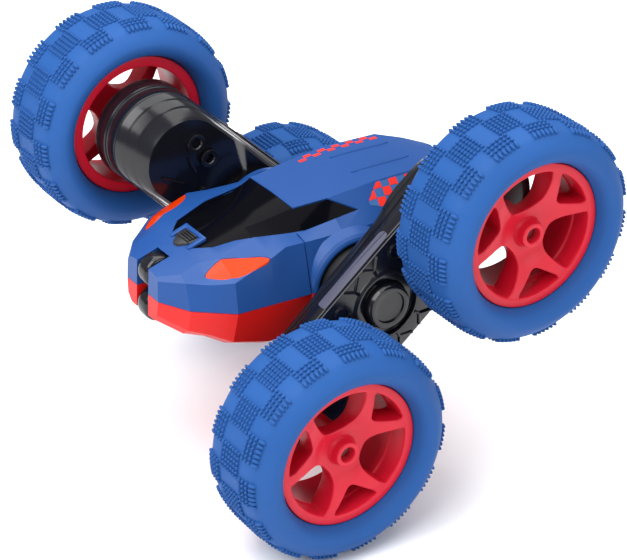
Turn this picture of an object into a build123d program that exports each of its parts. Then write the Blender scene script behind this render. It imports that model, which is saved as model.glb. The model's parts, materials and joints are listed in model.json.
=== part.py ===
from build123d import *
import math
import os

# Rotating-arm stunt car. Millimetres, +Z up, the nose points along -Y and +X is the car's left.
# The origin is on the ground under the middle of the axis that both wheel arms turn about.
# Body pieces are drawn about the arm axis and lifted to its height when they are written.
# Arm pieces are drawn with x outboard, y along the arm towards its motor end and z across it,
# then tilted and lifted; the right-hand arm is the same part turned half round about Z.

# wheels
TYRE_R = 38.2
TYRE_HALF_WIDTH = 16.8
CROWN_HALF_WIDTH = 10.9
CROWN_EDGE_R = 37.45
CROWN_FLAT_HALF = 7.5
FLANGE_R = 25.0
FLANGE_HALF_WIDTH = 11.4
FLANGE_THICKNESS = 1.5
BARREL_R = 22.6
BARREL_WALL = 1.3
WHEEL_X = 67.0
AXLE_R = 1.5
SPOKE_COUNT = 3
SPOKE_SPREAD = 29.0

# gear train, all spur gears of one module
MODULE = 0.5
PRESSURE_ANGLE = 20.0
BACKLASH = 0.14
WHEEL_TEETH = 25
IDLER_TEETH = 54
CENTRE_TEETH = 49
PINION_TEETH = 9
GEAR_X = 37.6
GEAR_WIDTH = 2.0
RUN = 0.05

# arms
WHEEL_OFFSET = MODULE / 2 * (WHEEL_TEETH + 2 * IDLER_TEETH + CENTRE_TEETH)
IDLER_OFFSET = MODULE / 2 * (CENTRE_TEETH + IDLER_TEETH)
PINION_OFFSET = WHEEL_OFFSET + MODULE / 2 * (WHEEL_TEETH + PINION_TEETH)
ARM_TILT = 41.7
AXIS_HEIGHT = TYRE_R + WHEEL_OFFSET * math.sin(math.radians(ARM_TILT))
ARM_WALL = 1.3
SPLIT_X = 41.5
FACE_X = 47.5
DRUM_X = 53.5
DRUM_R = 18.0
DRUM_STEP_X = 46.5
SHOULDER_U = 15.0
# each level: inboard x, outboard x, radius round the motor end, radius at the shoulder, at the far end
HOUSING_LEVELS = [
    (34.0, 36.5, 14.4, 14.4, 14.4),
    (36.5, 39.0, 15.3, 15.7, 15.7),
    (39.0, SPLIT_X, 15.3, 16.9, 16.9),
]
COVER_LEVELS = [(SPLIT_X, DRUM_STEP_X, 15.5, 18.0, 18.0), (DRUM_STEP_X, FACE_X, 17.6, 18.0, 18.0)]
STEP_SHIFT = 0.9
DOME_X = 30.5
ROOM_X = 35.3
POST_X = 34.5
IDLER_POST_R = 2.0
MOTOR_POST_R = 3.0
STRIP_N = 17.5
STRIP_THICKNESS = 0.45
STRIP_SPAN = (42.0, 46.3, -15.0, 17.0)
STRIP_EASE = 0.1
COVER_SCREWS = [(10.0, 14.0), (10.0, -14.0), (-10.0, 14.0), (-10.0, -14.0)]
SCREW_BOSS_R = 3.1
# ribs on the cover face start at these (u, n) points and end near the edge
COVER_RIBS = [(5.0, 12.0), (-4.5, 12.0), (5.0, -12.0), (-4.5, -12.0)]
RIB_WIDTH = 0.9

# arm pivot
TUBE_R = 5.0
TUBE_BORE_R = 3.6
TUBE_END_X = 42.4
BUSH_R = 6.6
HUB_BOSS_R = 8.0

# body
SHELL_WALL = 1.6
SIDE_HUB_R = 13.6
SIDE_HUB_X = (27.0, 33.2)
ARCH_R = 16.6
ARCH_X = 30.6
ARCH_IN_X = 22.0
NOSE_Y = -63.8
TAIL_Y = 50.3
SLOT_HALF = 3.7
ROLLER_R = 5.8
ROLLER_WIDTH = 6.2
ROLLER_Y = -58.6
ROLLER_Z = 6.0
ROLLER_PIN_R = 1.0
BELLY_Z = -19.0
GAP = 0.15
SCREW_POSTS = [(12.5, -48.0), (-12.5, -48.0), (15.0, 42.0), (-15.0, 42.0)]
POST_R = 2.6
SCOOP_SEAT = (-5.2, 5.2, -52.2, -43.0, 8.0, 20.0)
BATTERY_WELL = (-13.0, 13.0, 9.0, 37.0)
DOOR_EASE = 0.2
DOOR_SCREW_Y = 34.0
CELL_R = 4.1
CELL_Z = -11.6
SWITCH_SLOT = (-2.2, 2.2, -20.0, -12.0)
BOARD = (-16.0, 16.0, -33.0, -9.5, 2.0, 3.4)
LED_PLACE = (22.5, -42.5, 7.2)

# body cross-sections: y, then half-outline corners (x, z) from the split line to the middle;
# the lower ones reach a little under the belly, which is then cut flat
UPPER_STATIONS = [
    (NOSE_Y, [(10.0, 0), (9.8, 4.5), (9.4, 7.4), (8.4, 8.6), (6.5, 9.2)]),
    (-57.8, [(20.6, 0), (19.4, 6.0), (16.6, 8.8), (13.5, 10.3), (8.0, 11.3)]),
    (-45.4, [(29.7, 0), (28.8, 6.5), (27.4, 10.4), (17.5, 15.3), (8.0, 15.6)]),
    (-31.2, [(29.9, 0), (28.6, 9.0), (26.9, 15.9), (14.2, 18.0), (10.0, 19.0)]),
    (-25.0, [(29.9, 0), (28.4, 8.5), (24.4, 16.8), (16.2, 18.0), (11.2, 20.8)]),
    (-14.9, [(29.9, 0), (28.2, 8.0), (24.4, 16.8), (19.4, 18.0), (13.2, 23.8)]),
    (-2.3, [(29.8, 0), (28.0, 8.0), (24.6, 16.8), (20.0, 19.8), (14.7, 25.2)]),
    (16.0, [(29.4, 0), (27.6, 8.0), (24.2, 17.2), (19.8, 22.2), (15.4, 27.8)]),
    (36.7, [(24.6, 0), (23.4, 8.0), (21.4, 17.6), (18.0, 23.4), (14.7, 28.0)]),
    (44.5, [(18.4, 0), (17.4, 8.0), (15.4, 17.6), (12.4, 23.0), (9.4, 27.3)]),
    (TAIL_Y, [(9.0, 0), (8.6, 8.0), (7.6, 17.2), (6.0, 22.4), (4.2, 26.4)]),
]
LOWER_STATIONS = [
    (NOSE_Y, [(10.0, 0), (9.0, -5.8), (6.5, -7.8)]),
    (-57.8, [(20.6, 0), (18.5, -7.5), (14.0, -10.4)]),
    (-45.4, [(29.7, 0), (27.0, -11.0), (20.0, -14.4)]),
    (-32.0, [(29.9, 0), (27.6, -13.6), (22.0, -17.4)]),
    (-22.0, [(29.9, 0), (27.6, -14.0), (22.0, BELLY_Z - 0.3)]),
    (38.0, [(23.8, 0), (21.4, -14.0), (16.0, BELLY_Z - 0.3)]),
    (44.5, [(18.4, 0), (16.0, -13.0), (12.0, -17.0)]),
    (TAIL_Y, [(9.0, 0), (8.0, -11.0), (6.0, -14.0)]),
]
CANOPY_HALF = [(8.4, -43.2), (14.4, -29.4), (19.4, -14.1), (20.0, 6.5), (14.7, -2.3), (13.2, -14.9)]
LAMP_HALF = [(19.0, -52.4), (25.6, -45.0), (27.6, -38.0), (27.0, -31.2), (21.6, -36.6), (18.4, -44.6)]


def rod(x0, x1, radius, u=0.0, n=0.0):
    """A round bar along X from x0 to x1, centred on (u, n)."""
    length = x1 - x0
    return Pos(x0 + length / 2, u, n) * Rot(0, 90, 0) * Cylinder(radius, length)


def ring(x0, x1, outer, inner, u=0.0, n=0.0):
    return rod(x0, x1, outer, u, n) - rod(x0 - 1, x1 + 1, inner, u, n)


def block(x0, x1, y0, y1, z0, z1):
    """A box given by its two opposite corners."""
    centre = Pos((x0 + x1) / 2, (y0 + y1) / 2, (z0 + z1) / 2)
    return centre * Box(x1 - x0, y1 - y0, z1 - z0)


def turned(points):
    """A solid turned about the X axis from (x, radius) corners."""
    return revolve(make_face(Polyline(*points, close=True)), Axis.X, 360)


def plate(sketch, x0, x1):
    """A sketch in arm coordinates (u, n) raised from x0 to x1."""
    side = Plane(origin=(x0, 0, 0), x_dir=(0, 1, 0), z_dir=(1, 0, 0))
    return extrude(side * sketch, x1 - x0)


def capsule(u0, r0, u1, r1):
    """Two circles on the arm's centre line and the two lines tangent to both."""
    lean = math.asin((r0 - r1) / (u1 - u0))
    cos, sin = math.cos(lean), math.sin(lean)
    top = [(u0 + r0 * sin, r0 * cos), (u1 + r1 * sin, r1 * cos)]
    low = [(u, -n) for u, n in reversed(top)]
    body = make_face(Polyline(*top, *low, close=True))
    return body + Pos(u0, 0) * Circle(r0) + Pos(u1, 0) * Circle(r1)


def arm_outline(r_motor, r_shoulder, r_far):
    """The arm seen from its side: round at both ends and widest at the shoulder."""
    front = capsule(-WHEEL_OFFSET, r_far, SHOULDER_U, r_shoulder)
    return front + capsule(SHOULDER_U, r_shoulder, WHEEL_OFFSET, r_motor)


def involute(angle):
    return math.tan(angle) - angle


def gear_sketch(teeth, phase):
    """Spur gear outline with thinned involute teeth; phase is the angle of a tooth's middle."""
    pitch_r = MODULE * teeth / 2
    base_r = pitch_r * math.cos(math.radians(PRESSURE_ANGLE))
    root_r = pitch_r - 1.2 * MODULE
    tip_r = pitch_r + 0.85 * MODULE
    thickness = math.pi * MODULE / 2 - BACKLASH
    at_pitch = thickness / (2 * pitch_r) + involute(math.radians(PRESSURE_ANGLE))

    def half_angle(radius):
        inner = max(radius, base_r)
        return at_pitch - involute(math.acos(base_r / inner))

    middle = [max(base_r, root_r + 0.01), pitch_r] if teeth < 40 else []
    radii = [root_r, *middle, tip_r]
    corners = []
    for tooth in range(teeth):
        centre = phase + tooth * 2 * math.pi / teeth
        rising = [(r, centre - half_angle(r)) for r in radii]
        falling = [(r, centre + half_angle(r)) for r in reversed(radii)]
        corners += [(r * math.cos(a), r * math.sin(a)) for r, a in rising + falling]
    return make_face(Polyline(*corners, close=True))


def meshed_phase(phase, teeth, direction, next_teeth):
    """The tooth phase of a gear that meshes with one of the given phase, in that direction."""
    share = ((direction - phase) * teeth / (2 * math.pi)) % 1.0
    return direction + math.pi + (share - 0.5) * 2 * math.pi / next_teeth


def gear(teeth, phase, bore_r, u):
    flat = Pos(u, 0) * (gear_sketch(teeth, phase) - Circle(bore_r))
    return plate(flat, GEAR_X, GEAR_X + GEAR_WIDTH)


def tyre():
    """A hollow soft tyre: round sidewalls, flat crown and two beads against the rim flanges."""
    bead = FLANGE_HALF_WIDTH - FLANGE_THICKNESS - 0.1
    seat = BARREL_R + 0.1
    lip = FLANGE_R + 0.1
    shoulder = (13.6, 36.2)
    crown = (CROWN_HALF_WIDTH, CROWN_EDGE_R)
    outer = [Line((bead, seat), (bead, lip)), Line((bead, lip), (12.0, lip + 0.3))]
    outer.append(ThreePointArc((12.0, lip + 0.3), (TYRE_HALF_WIDTH, 31.0), shoulder))
    outer.append(ThreePointArc(shoulder, (12.4, 36.95), crown))
    outer.append(ThreePointArc(crown, (9.2, 37.95), (CROWN_FLAT_HALF, TYRE_R)))
    outer.append(Line((CROWN_FLAT_HALF, TYRE_R), (0, TYRE_R)))
    inner = [Line((0, TYRE_R), (0, 35.2)), ThreePointArc((0, 35.2), (6.0, 34.9), (10.5, 34.2))]
    inner.append(ThreePointArc((10.5, 34.2), (14.0, 31.0), (10.0, 27.6)))
    inner.append(Line((10.0, 27.6), (7.2, 27.0)))
    inner.append(Line((7.2, 27.0), (7.2, seat)))
    inner.append(Line((7.2, seat), (bead, seat)))
    half = revolve(make_face(Wire(outer + inner)), Axis.X, 360)
    return half + mirror(half, Plane.YZ)


def spokes():
    """Three forked spokes, each a stem from the hub that splits into two branches."""
    fork = 10.5
    stem = Pos(fork / 2, 0) * Rectangle(fork, 7.0)
    reach = 12.6
    shape = Circle(7.2)
    for step in range(SPOKE_COUNT):
        turn = Rot(0, 0, step * 360 / SPOKE_COUNT)
        shape += turn * stem
        for side in (-1, 1):
            lean = side * (SPOKE_SPREAD + 22)
            branch = Pos(fork - 1, 0) * Rot(0, 0, lean) * Pos(reach / 2 + 1, 0) * Rectangle(reach + 2.4, 3.2)
            shape += turn * branch
    return shape & Circle(BARREL_R - 0.6)


def rim():
    """A barrel with two flanges, a hub tube and forked spokes dished towards the hub."""
    edge = FLANGE_HALF_WIDTH
    lip = edge - FLANGE_THICKNESS
    bore = BARREL_R - BARREL_WALL
    profile = [(-edge, bore), (-edge, FLANGE_R), (-lip, FLANGE_R), (-lip, BARREL_R), (lip, BARREL_R)]
    profile += [(lip, FLANGE_R), (edge, FLANGE_R), (edge, bore + 1.1), (edge - 1.2, bore + 0.5)]
    profile += [(4.5, bore + 0.5), (4.0, bore)]
    barrel = turned(profile)
    web = plate(spokes(), 2.0, edge - 0.6)
    dish = [(edge, 4.4), (edge - 2.4, 4.6), (edge - 4.4, 6.6), (edge - 4.2, 9.0), (edge - 1.6, 15.5)]
    dish += [(edge - 0.7, BARREL_R), (edge + 1, BARREL_R), (edge + 1, 4.4)]
    web = web - turned(dish)
    hub = rod(-edge + 1.0, 6.0, 5.2) + rod(4.0, edge, 4.2)
    bores = rod(-edge, 7.0, AXLE_R) + rod(6.0, edge + 1, 2.6)
    return barrel + web + hub - bores


def axle(x0, x1):
    return rod(x0 - WHEEL_X, x1 - WHEEL_X, AXLE_R) - rod(x1 - WHEEL_X - 5, x1 - WHEEL_X + 1, 0.8)


def wheel_screw():
    return rod(1.5, 6.2, 0.75) + rod(6.0, 7.8, 2.3) - block(7.2, 8.0, -1.8, 1.8, -0.3, 0.3)


def stack(levels):
    """Arm outlines raised one on another; each level is x0, x1 and three radii."""
    x0, x1, *radii = levels[0]
    whole = plate(arm_outline(*radii), x0, x1)
    for x0, x1, *radii in levels[1:]:
        whole += plate(arm_outline(*radii), x0, x1)
    return whole


def cavity(levels, first_x):
    """The room inside a stack of levels, stepped a little outboard of the outer steps."""
    starts = [first_x] + [level[0] + STEP_SHIFT for level in levels[1:]]
    ends = starts[1:] + [levels[-1][1] + 1]
    inner = [[radius - ARM_WALL for radius in level[2:]] for level in levels]
    return stack([(x0, x1, *radii) for x0, x1, radii in zip(starts, ends, inner)])


def arm_housing():
    """The inboard half of an arm: stepped edge, pivot boss, gear posts and the domed motor end."""
    base_x = HOUSING_LEVELS[0][0]
    step_x = HOUSING_LEVELS[0][1]
    dome_r = HOUSING_LEVELS[0][2]
    post_end = GEAR_X - 0.4
    shell = stack(HOUSING_LEVELS)
    dome = [(DOME_X, 0), (DOME_X, 11.5), (step_x, dome_r), (step_x + 0.5, 0)]
    shell += Pos(0, WHEEL_OFFSET, 0) * turned(dome)
    room = cavity(HOUSING_LEVELS, ROOM_X)
    inner_x = DOME_X + ARM_WALL
    inner_dome = [(inner_x, 0), (inner_x, 10.4), (step_x, dome_r - 1.4), (step_x + 1.5, 0)]
    room += Pos(0, WHEEL_OFFSET, 0) * turned(inner_dome)
    shell -= room
    shell += rod(base_x, 40.2, HUB_BOSS_R)
    shell -= rod(base_x - 1, 41.0, BUSH_R)
    shell += rod(DOME_X + 0.5, post_end, MOTOR_POST_R, WHEEL_OFFSET)
    shell += rod(POST_X, post_end, MOTOR_POST_R, -WHEEL_OFFSET)
    for side in (-1, 1):
        shell -= rod(ROOM_X + 0.1, 40.0, AXLE_R + RUN, side * WHEEL_OFFSET)
        shell += rod(POST_X, post_end, 2 * IDLER_POST_R, side * IDLER_OFFSET)
        shell += rod(POST_X, GEAR_X + GEAR_WIDTH + 0.6, IDLER_POST_R, side * IDLER_OFFSET)
    for u, n in COVER_SCREWS:
        shell += rod(POST_X, SPLIT_X, 2.0, u, n)
        shell -= rod(POST_X + 1.5, SPLIT_X + 1, 0.8, u, n)
    return shell


def cover_rib(u, n, run):
    """One raised rib on the cover face, from (u, n) out towards the edge."""
    end_n = math.copysign(17.0, n)
    length = math.hypot(run, end_n - n)
    lean = math.degrees(math.atan2(end_n - n, run))
    middle = Pos(u + run / 2, (n + end_n) / 2)
    return plate(middle * Rot(0, 0, lean) * Rectangle(length + 0.8, RIB_WIDTH), FACE_X - 0.3, FACE_X + 0.5)


def arm_cover():
    """The outboard half of an arm: flat face with a ringed boss and ribs, and the round motor drum."""
    shell = stack(COVER_LEVELS) + rod(DRUM_STEP_X, DRUM_X, DRUM_R, WHEEL_OFFSET)
    room = plate(arm_outline(14.2, 16.7, 16.7), SPLIT_X - 1, FACE_X - ARM_WALL)
    room += rod(DRUM_STEP_X + ARM_WALL, DRUM_X - ARM_WALL, DRUM_R - ARM_WALL, WHEEL_OFFSET)
    room += rod(SPLIT_X - 1, DRUM_STEP_X + 2 * ARM_WALL, 13.9, WHEEL_OFFSET)
    shell -= room
    shell += rod(FACE_X - 0.5, FACE_X + 1, 12.4) + rod(FACE_X + 0.5, FACE_X + 2.5, 7.6)
    shell -= ring(FACE_X + 0.4, FACE_X + 1.5, 11.4, 8.4)
    shell -= rod(FACE_X + 1.9, FACE_X + 3.5, 5.4)
    for u, n in COVER_RIBS:
        for run in (-2.6, 3.4):
            shell += cover_rib(u, n, run)
    shell += rod(FACE_X - 4.0, FACE_X + 3.5, 4.5, -WHEEL_OFFSET)
    shell += rod(DRUM_X - 3.5, DRUM_X, MOTOR_POST_R, WHEEL_OFFSET)
    for side in (-1, 1):
        shell -= rod(SPLIT_X - 1.5, DRUM_X + 1.5, AXLE_R + RUN, side * WHEEL_OFFSET)
    for u, n in COVER_SCREWS:
        shell += rod(SPLIT_X, FACE_X - 0.5, SCREW_BOSS_R, u, n)
        shell -= rod(SPLIT_X - 1, FACE_X + 4, 1.1, u, n)
        shell -= rod(FACE_X - 2.0, FACE_X + 4, 2.1, u, n)
    return shell - block(*STRIP_SPAN, STRIP_N, STRIP_N + 3)


def arm_strip():
    """The grey inlay along the arm's upper edge."""
    x0, x1, u0, u1 = STRIP_SPAN
    top = STRIP_N + STRIP_THICKNESS
    return block(x0 + STRIP_EASE, x1 - STRIP_EASE, u0 + STRIP_EASE, u1 - STRIP_EASE, STRIP_N, top)


def cover_screws():
    group = []
    for u, n in COVER_SCREWS:
        screw = rod(36.6, 45.6, 0.75, u, n) + rod(45.55, 46.9, 1.9, u, n)
        group.append(screw - block(46.4, 48.0, u - 1.4, u + 1.4, n - 0.25, n + 0.25))
    return Compound(group)


def motor():
    """A small two-flat can motor with a bore for its shaft."""
    can = rod(40.4, 51.4, 6.0, PINION_OFFSET) & block(40, 52, PINION_OFFSET - 5, PINION_OFFSET + 5, -7, 7)
    nose = rod(39.9, 40.6, 2.0, PINION_OFFSET)
    return can + nose - rod(39.0, 45.0, 0.8, PINION_OFFSET)


def motor_pinion(phase):
    """The motor's shaft with its pinion."""
    toothed = gear(PINION_TEETH, phase, 0.5, PINION_OFFSET)
    return toothed + rod(36.8, 44.5, 0.75, PINION_OFFSET)


def station_face(y, half, inset):
    """One cross-section of the body, a many-sided outline across the car."""
    up = math.copysign(1.0, half[-1][1])
    moved = [(x - inset, z - up * inset) for x, z in half]
    corners = moved + [(-x, z) for x, z in reversed(moved)]
    section = Plane(origin=(0, y, 0), x_dir=(1, 0, 0), z_dir=(0, -1, 0))
    return section * make_face(Polyline(*corners, close=True))


def hull(stations, inset):
    """The solid through all cross-sections, drawn in by the inset on every side but the split."""
    ends = {NOSE_Y: NOSE_Y + inset, TAIL_Y: TAIL_Y - inset}
    return loft([station_face(ends.get(y, y), half, inset) for y, half in stations], ruled=True)


def arch(side, up):
    """Half of the raised ring round an arm's pivot, on one side of the body."""
    x0, x1 = sorted((side * ARCH_IN_X, side * ARCH_X))
    whole = ring(x0, x1, ARCH_R, SIDE_HUB_R + 0.3)
    return whole & block(-40, 40, -30, 30, 0 if up else -30, 30 if up else 0)


def shell_half(stations, up):
    """One half of the body shell, open at the split, with its arches and the seat of the pivot tube."""
    shell = hull(stations, 0) - hull(stations, SHELL_WALL)
    low, high = (GAP / 2, 40) if up else (BELLY_Z, -GAP / 2)
    for side in (-1, 1):
        near, far = sorted((side * ARCH_IN_X, side * 40))
        shell -= rod(near, far, ARCH_R - 0.5)
        shell += arch(side, up)
    rib = block(-3, 3, -7, 7, 1.0, 24.0) if up else block(-3, 3, -7, 7, BELLY_Z + 1, -1.0)
    shell += rib - rod(-40, 40, TUBE_R)
    shell -= block(-SLOT_HALF, SLOT_HALF, NOSE_Y - 2, ROLLER_Y + ROLLER_R + 1.2, -20, 20)
    return shell & block(-40, 40, -80, 80, low, high)


def canopy_prism(grow):
    corners = CANOPY_HALF + [(-x, y) for x, y in reversed(CANOPY_HALF)]
    flat = make_face(Polyline(*corners, close=True))
    if grow:
        flat = offset(flat, grow)
    return Pos(0, 0, 5) * extrude(flat, 30)


def lamp_prism(side, grow):
    flat = make_face(Polyline(*[(side * x, y) for x, y in LAMP_HALF], close=True))
    if grow:
        flat = offset(flat, grow)
    return Pos(0, 0, 6) * extrude(flat, 20)


def post(x, y, z0, z1, radius):
    """An upright round bar."""
    return Pos(x, y, (z0 + z1) / 2) * Cylinder(radius, z1 - z0)


def upper_shell():
    shell = shell_half(UPPER_STATIONS, True)
    shell -= canopy_prism(0)
    for side in (-1, 1):
        shell -= lamp_prism(side, 0)
    shell -= block(*SCOOP_SEAT)
    for x, y in SCREW_POSTS:
        shell += post(x, y, GAP, 24.0, POST_R) & hull(UPPER_STATIONS, SHELL_WALL / 2)
    for x, y in SCREW_POSTS:
        shell -= post(x, y, -1.0, 8.0, 1.0)
    return max(shell.solids(), key=lambda solid: solid.volume)


def lower_shell():
    shell = shell_half(LOWER_STATIONS, False)
    for x, y in SCREW_POSTS:
        shell += post(x, y, -22.0, -GAP, POST_R) & hull(LOWER_STATIONS, SHELL_WALL / 2)
    for x, y in SCREW_POSTS:
        shell -= post(x, y, -30.0, 1.0, 1.3)
        shell -= post(x, y, -30.0, -7.0, 2.1)
    for opening in (BATTERY_WELL, SWITCH_SLOT):
        shell -= block(*opening, BELLY_Z - 5, BELLY_Z + SHELL_WALL + 1)
    return max(shell.solids(), key=lambda solid: solid.volume)


def canopy():
    """The dark glazing, a panel a little below the roof that laps the edges of its opening."""
    panel = hull(UPPER_STATIONS, 0.5) - hull(UPPER_STATIONS, 2.0)
    panel = (panel & canopy_prism(-GAP)) - block(*SCOOP_SEAT)
    return max(panel.solids(), key=lambda solid: solid.volume)


def hood_scoop():
    """A small block sunk in the hood, ribbed across its top."""
    x0, x1, y0, y1 = SCOOP_SEAT[:4]
    top = 15.0
    whole = block(x0 + 0.2, x1 - 0.2, y0 + 0.2, y1 - 0.2, 10.0, top)
    for row in range(4):
        y = y0 + 1.4 + row * 2.0
        whole += block(x0 + 0.6, x1 - 0.6, y, y + 1.1, top, top + 1.0)
    return whole


def headlight(side):
    lens = hull(UPPER_STATIONS, 0.0) - hull(UPPER_STATIONS, 1.9)
    lens = lens & lamp_prism(side, -GAP)
    return max(lens.solids(), key=lambda solid: solid.volume)


def headlight_leds():
    x, y, z = LED_PLACE
    return Compound([Pos(side * x, y, z) * Cylinder(1.5, 4.0) for side in (-1, 1)])


def main_board():
    """The circuit board with its largest chip and the battery socket."""
    top = BOARD[5]
    chip = block(-5.0, 5.0, -24.0, -17.0, top, top + 1.5)
    socket = block(8.0, 14.0, -30.0, -25.0, top, top + 3.6)
    return block(*BOARD) + chip + socket


def battery_pack():
    """Three cells side by side in a holder."""
    pitch = 2 * CELL_R + 0.2
    cells = block(-pitch, pitch, 10.0, 36.0, CELL_Z - 2.4, CELL_Z + 2.6)
    for index in (-1, 0, 1):
        cells += Pos(index * pitch, 23.0, CELL_Z) * Rot(90, 0, 0) * Cylinder(CELL_R, 26.0)
    return cells


def battery_door():
    """A flat door flush with the belly, with finger ribs at its front and a screw at its back."""
    x0, x1, y0, y1 = BATTERY_WELL
    top = BELLY_Z + SHELL_WALL
    door = block(x0 + DOOR_EASE, x1 - DOOR_EASE, y0 + DOOR_EASE, y1 - DOOR_EASE, BELLY_Z, top)
    door -= post(0, DOOR_SCREW_Y, BELLY_Z - 5, 0, 1.2)
    for row in range(4):
        y = y0 + 4.0 + row * 1.6
        door -= block(-6.0, 6.0, y, y + 0.8, BELLY_Z - 1, BELLY_Z + 0.5)
    return door


def battery_door_screw():
    return post(0, DOOR_SCREW_Y, BELLY_Z + 0.1, BELLY_Z + 3.2, 1.1)


def power_switch():
    """A sliding knob with a wide foot that stays above its slot."""
    y0 = SWITCH_SLOT[2] + 0.5
    knob = block(-1.9, 1.9, y0, y0 + 4.0, BELLY_Z - 0.3, BELLY_Z + 3.0)
    return knob + block(-4.0, 4.0, y0 - 1.0, y0 + 5.0, BELLY_Z + 1.9, BELLY_Z + 3.0)


def nose_roller(up):
    z = ROLLER_Z if up else -ROLLER_Z
    wheel = ring(-ROLLER_WIDTH / 2, ROLLER_WIDTH / 2, ROLLER_R, ROLLER_PIN_R + RUN)
    return Pos(0, ROLLER_Y, z) * wheel


def roller_pins():
    return Compound([rod(-8.5, 8.5, ROLLER_PIN_R, ROLLER_Y, z) for z in (-ROLLER_Z, ROLLER_Z)])


def pivot_tube():
    return ring(-TUBE_END_X, TUBE_END_X, TUBE_R, TUBE_BORE_R)


def side_hub(side):
    """The round black hub in an arch, with a ring groove in its outboard face."""
    inboard, outboard = SIDE_HUB_X
    hub = ring(inboard, outboard, SIDE_HUB_R, TUBE_R) - ring(outboard - 0.8, outboard + 1, 12.0, 9.5)
    return hub if side > 0 else Rot(0, 0, 180) * hub


def retainer():
    return ring(41.3, 42.3, 7.4, TUBE_R)


def arm_bush():
    return ring(34.0, 41.0, BUSH_R, TUBE_R + RUN)


def shell_screws():
    group = []
    for x, y in SCREW_POSTS:
        group.append(post(x, y, -8.4, 6.0, 0.95) + post(x, y, -9.9, -8.3, 2.0))
    return Compound(group)


def gear_phases():
    """Tooth phases along the train, all in mesh at rest, starting from the motor-end wheel gear."""
    first = 0.0
    idler_a = meshed_phase(first, WHEEL_TEETH, math.pi, IDLER_TEETH)
    centre = meshed_phase(idler_a, IDLER_TEETH, math.pi, CENTRE_TEETH)
    idler_b = meshed_phase(centre, CENTRE_TEETH, math.pi, IDLER_TEETH)
    last = meshed_phase(idler_b, IDLER_TEETH, math.pi, WHEEL_TEETH)
    pinion = meshed_phase(first, WHEEL_TEETH, 0.0, PINION_TEETH)
    return first, idler_a, centre, idler_b, last, pinion


def arm_parts():
    """Every piece of one arm, with its two wheels, in arm coordinates."""
    first, idler_a, centre, idler_b, last, pinion = gear_phases()
    parts = {
        "arm_housing": arm_housing(),
        "arm_cover": arm_cover(),
        "arm_strip": arm_strip(),
        "arm_bush": arm_bush(),
        "arm_screws": cover_screws(),
        "drive_motor": motor(),
        "motor_pinion": motor_pinion(pinion),
        "idler_gear_a": gear(IDLER_TEETH, idler_a, 2.0 + RUN, IDLER_OFFSET),
        "centre_gear": gear(CENTRE_TEETH, centre, HUB_BOSS_R + RUN, 0.0),
        "idler_gear_b": gear(IDLER_TEETH, idler_b, 2.0 + RUN, -IDLER_OFFSET),
    }
    for end, u, phase in (("a", WHEEL_OFFSET, first), ("b", -WHEEL_OFFSET, last)):
        place = Pos(WHEEL_X, u, 0)
        parts["tyre_" + end] = place * tyre()
        parts["rim_" + end] = place * rim()
        parts["axle_" + end] = place * axle(35.8, 73.0)
        parts["wheel_gear_" + end] = gear(WHEEL_TEETH, phase, AXLE_R, u)
        parts["wheel_screw_" + end] = place * wheel_screw()
    return parts


def body_parts():
    return {
        "upper_shell": upper_shell(),
        "lower_shell": lower_shell(),
        "canopy": canopy(),
        "hood_scoop": hood_scoop(),
        "headlight_left": headlight(1),
        "headlight_right": headlight(-1),
        "headlight_leds": headlight_leds(),
        "main_board": main_board(),
        "battery_pack": battery_pack(),
        "battery_door": battery_door(),
        "battery_door_screw": battery_door_screw(),
        "power_switch": power_switch(),
        "nose_roller_upper": nose_roller(True),
        "nose_roller_lower": nose_roller(False),
        "roller_pins": roller_pins(),
        "pivot_tube": pivot_tube(),
        "side_hub_left": side_hub(1),
        "side_hub_right": side_hub(-1),
        "arm_retainers": Compound([retainer(), Rot(0, 0, 180) * retainer()]),
        "shell_screws": shell_screws(),
    }


def main():
    os.makedirs("parts", exist_ok=True)
    lift = Pos(0, 0, AXIS_HEIGHT)
    for name, shape in body_parts().items():
        export_step(lift * shape, f"parts/{name}.step")
    tilt = Rot(ARM_TILT, 0, 0)
    for name, shape in arm_parts().items():
        export_step(lift * tilt * shape, f"parts/left_{name}.step")
        export_step(lift * Rot(0, 0, 180) * tilt * shape, f"parts/right_{name}.step")


main()
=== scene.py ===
import json
import math

import bmesh
import bpy
from mathutils import Matrix, Vector


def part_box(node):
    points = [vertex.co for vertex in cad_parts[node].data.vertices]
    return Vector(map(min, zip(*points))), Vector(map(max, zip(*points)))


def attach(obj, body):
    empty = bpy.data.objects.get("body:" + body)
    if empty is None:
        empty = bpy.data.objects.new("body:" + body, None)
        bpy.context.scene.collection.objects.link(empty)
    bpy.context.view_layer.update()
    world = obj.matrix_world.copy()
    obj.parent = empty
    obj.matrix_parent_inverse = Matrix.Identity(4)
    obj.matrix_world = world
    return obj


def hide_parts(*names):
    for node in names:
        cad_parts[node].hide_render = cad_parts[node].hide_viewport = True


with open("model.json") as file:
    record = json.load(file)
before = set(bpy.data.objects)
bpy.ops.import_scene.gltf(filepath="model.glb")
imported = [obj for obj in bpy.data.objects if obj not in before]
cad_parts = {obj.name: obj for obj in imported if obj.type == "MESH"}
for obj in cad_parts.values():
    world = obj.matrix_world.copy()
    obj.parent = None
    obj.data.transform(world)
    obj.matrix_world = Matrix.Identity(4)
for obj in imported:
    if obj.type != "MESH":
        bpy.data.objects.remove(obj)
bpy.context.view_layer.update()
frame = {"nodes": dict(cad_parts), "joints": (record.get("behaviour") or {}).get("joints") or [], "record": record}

# ---------------------------------------------------------------- places, from the frame
# Shapes below are drawn in millimetres and brought into the frame by these matrices.
MM = Matrix.Scale(0.001, 4)
JOINTS = {joint["name"]: joint for joint in frame["joints"]}
AXIS = Vector(JOINTS["left_arm_swing"]["pos_m"])
END_A = Vector(JOINTS["left_wheel_a_spin"]["pos_m"]) - AXIS
REACH = math.hypot(END_A.y, END_A.z) * 1000
TILT = math.atan2(END_A.z, END_A.y)
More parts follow.
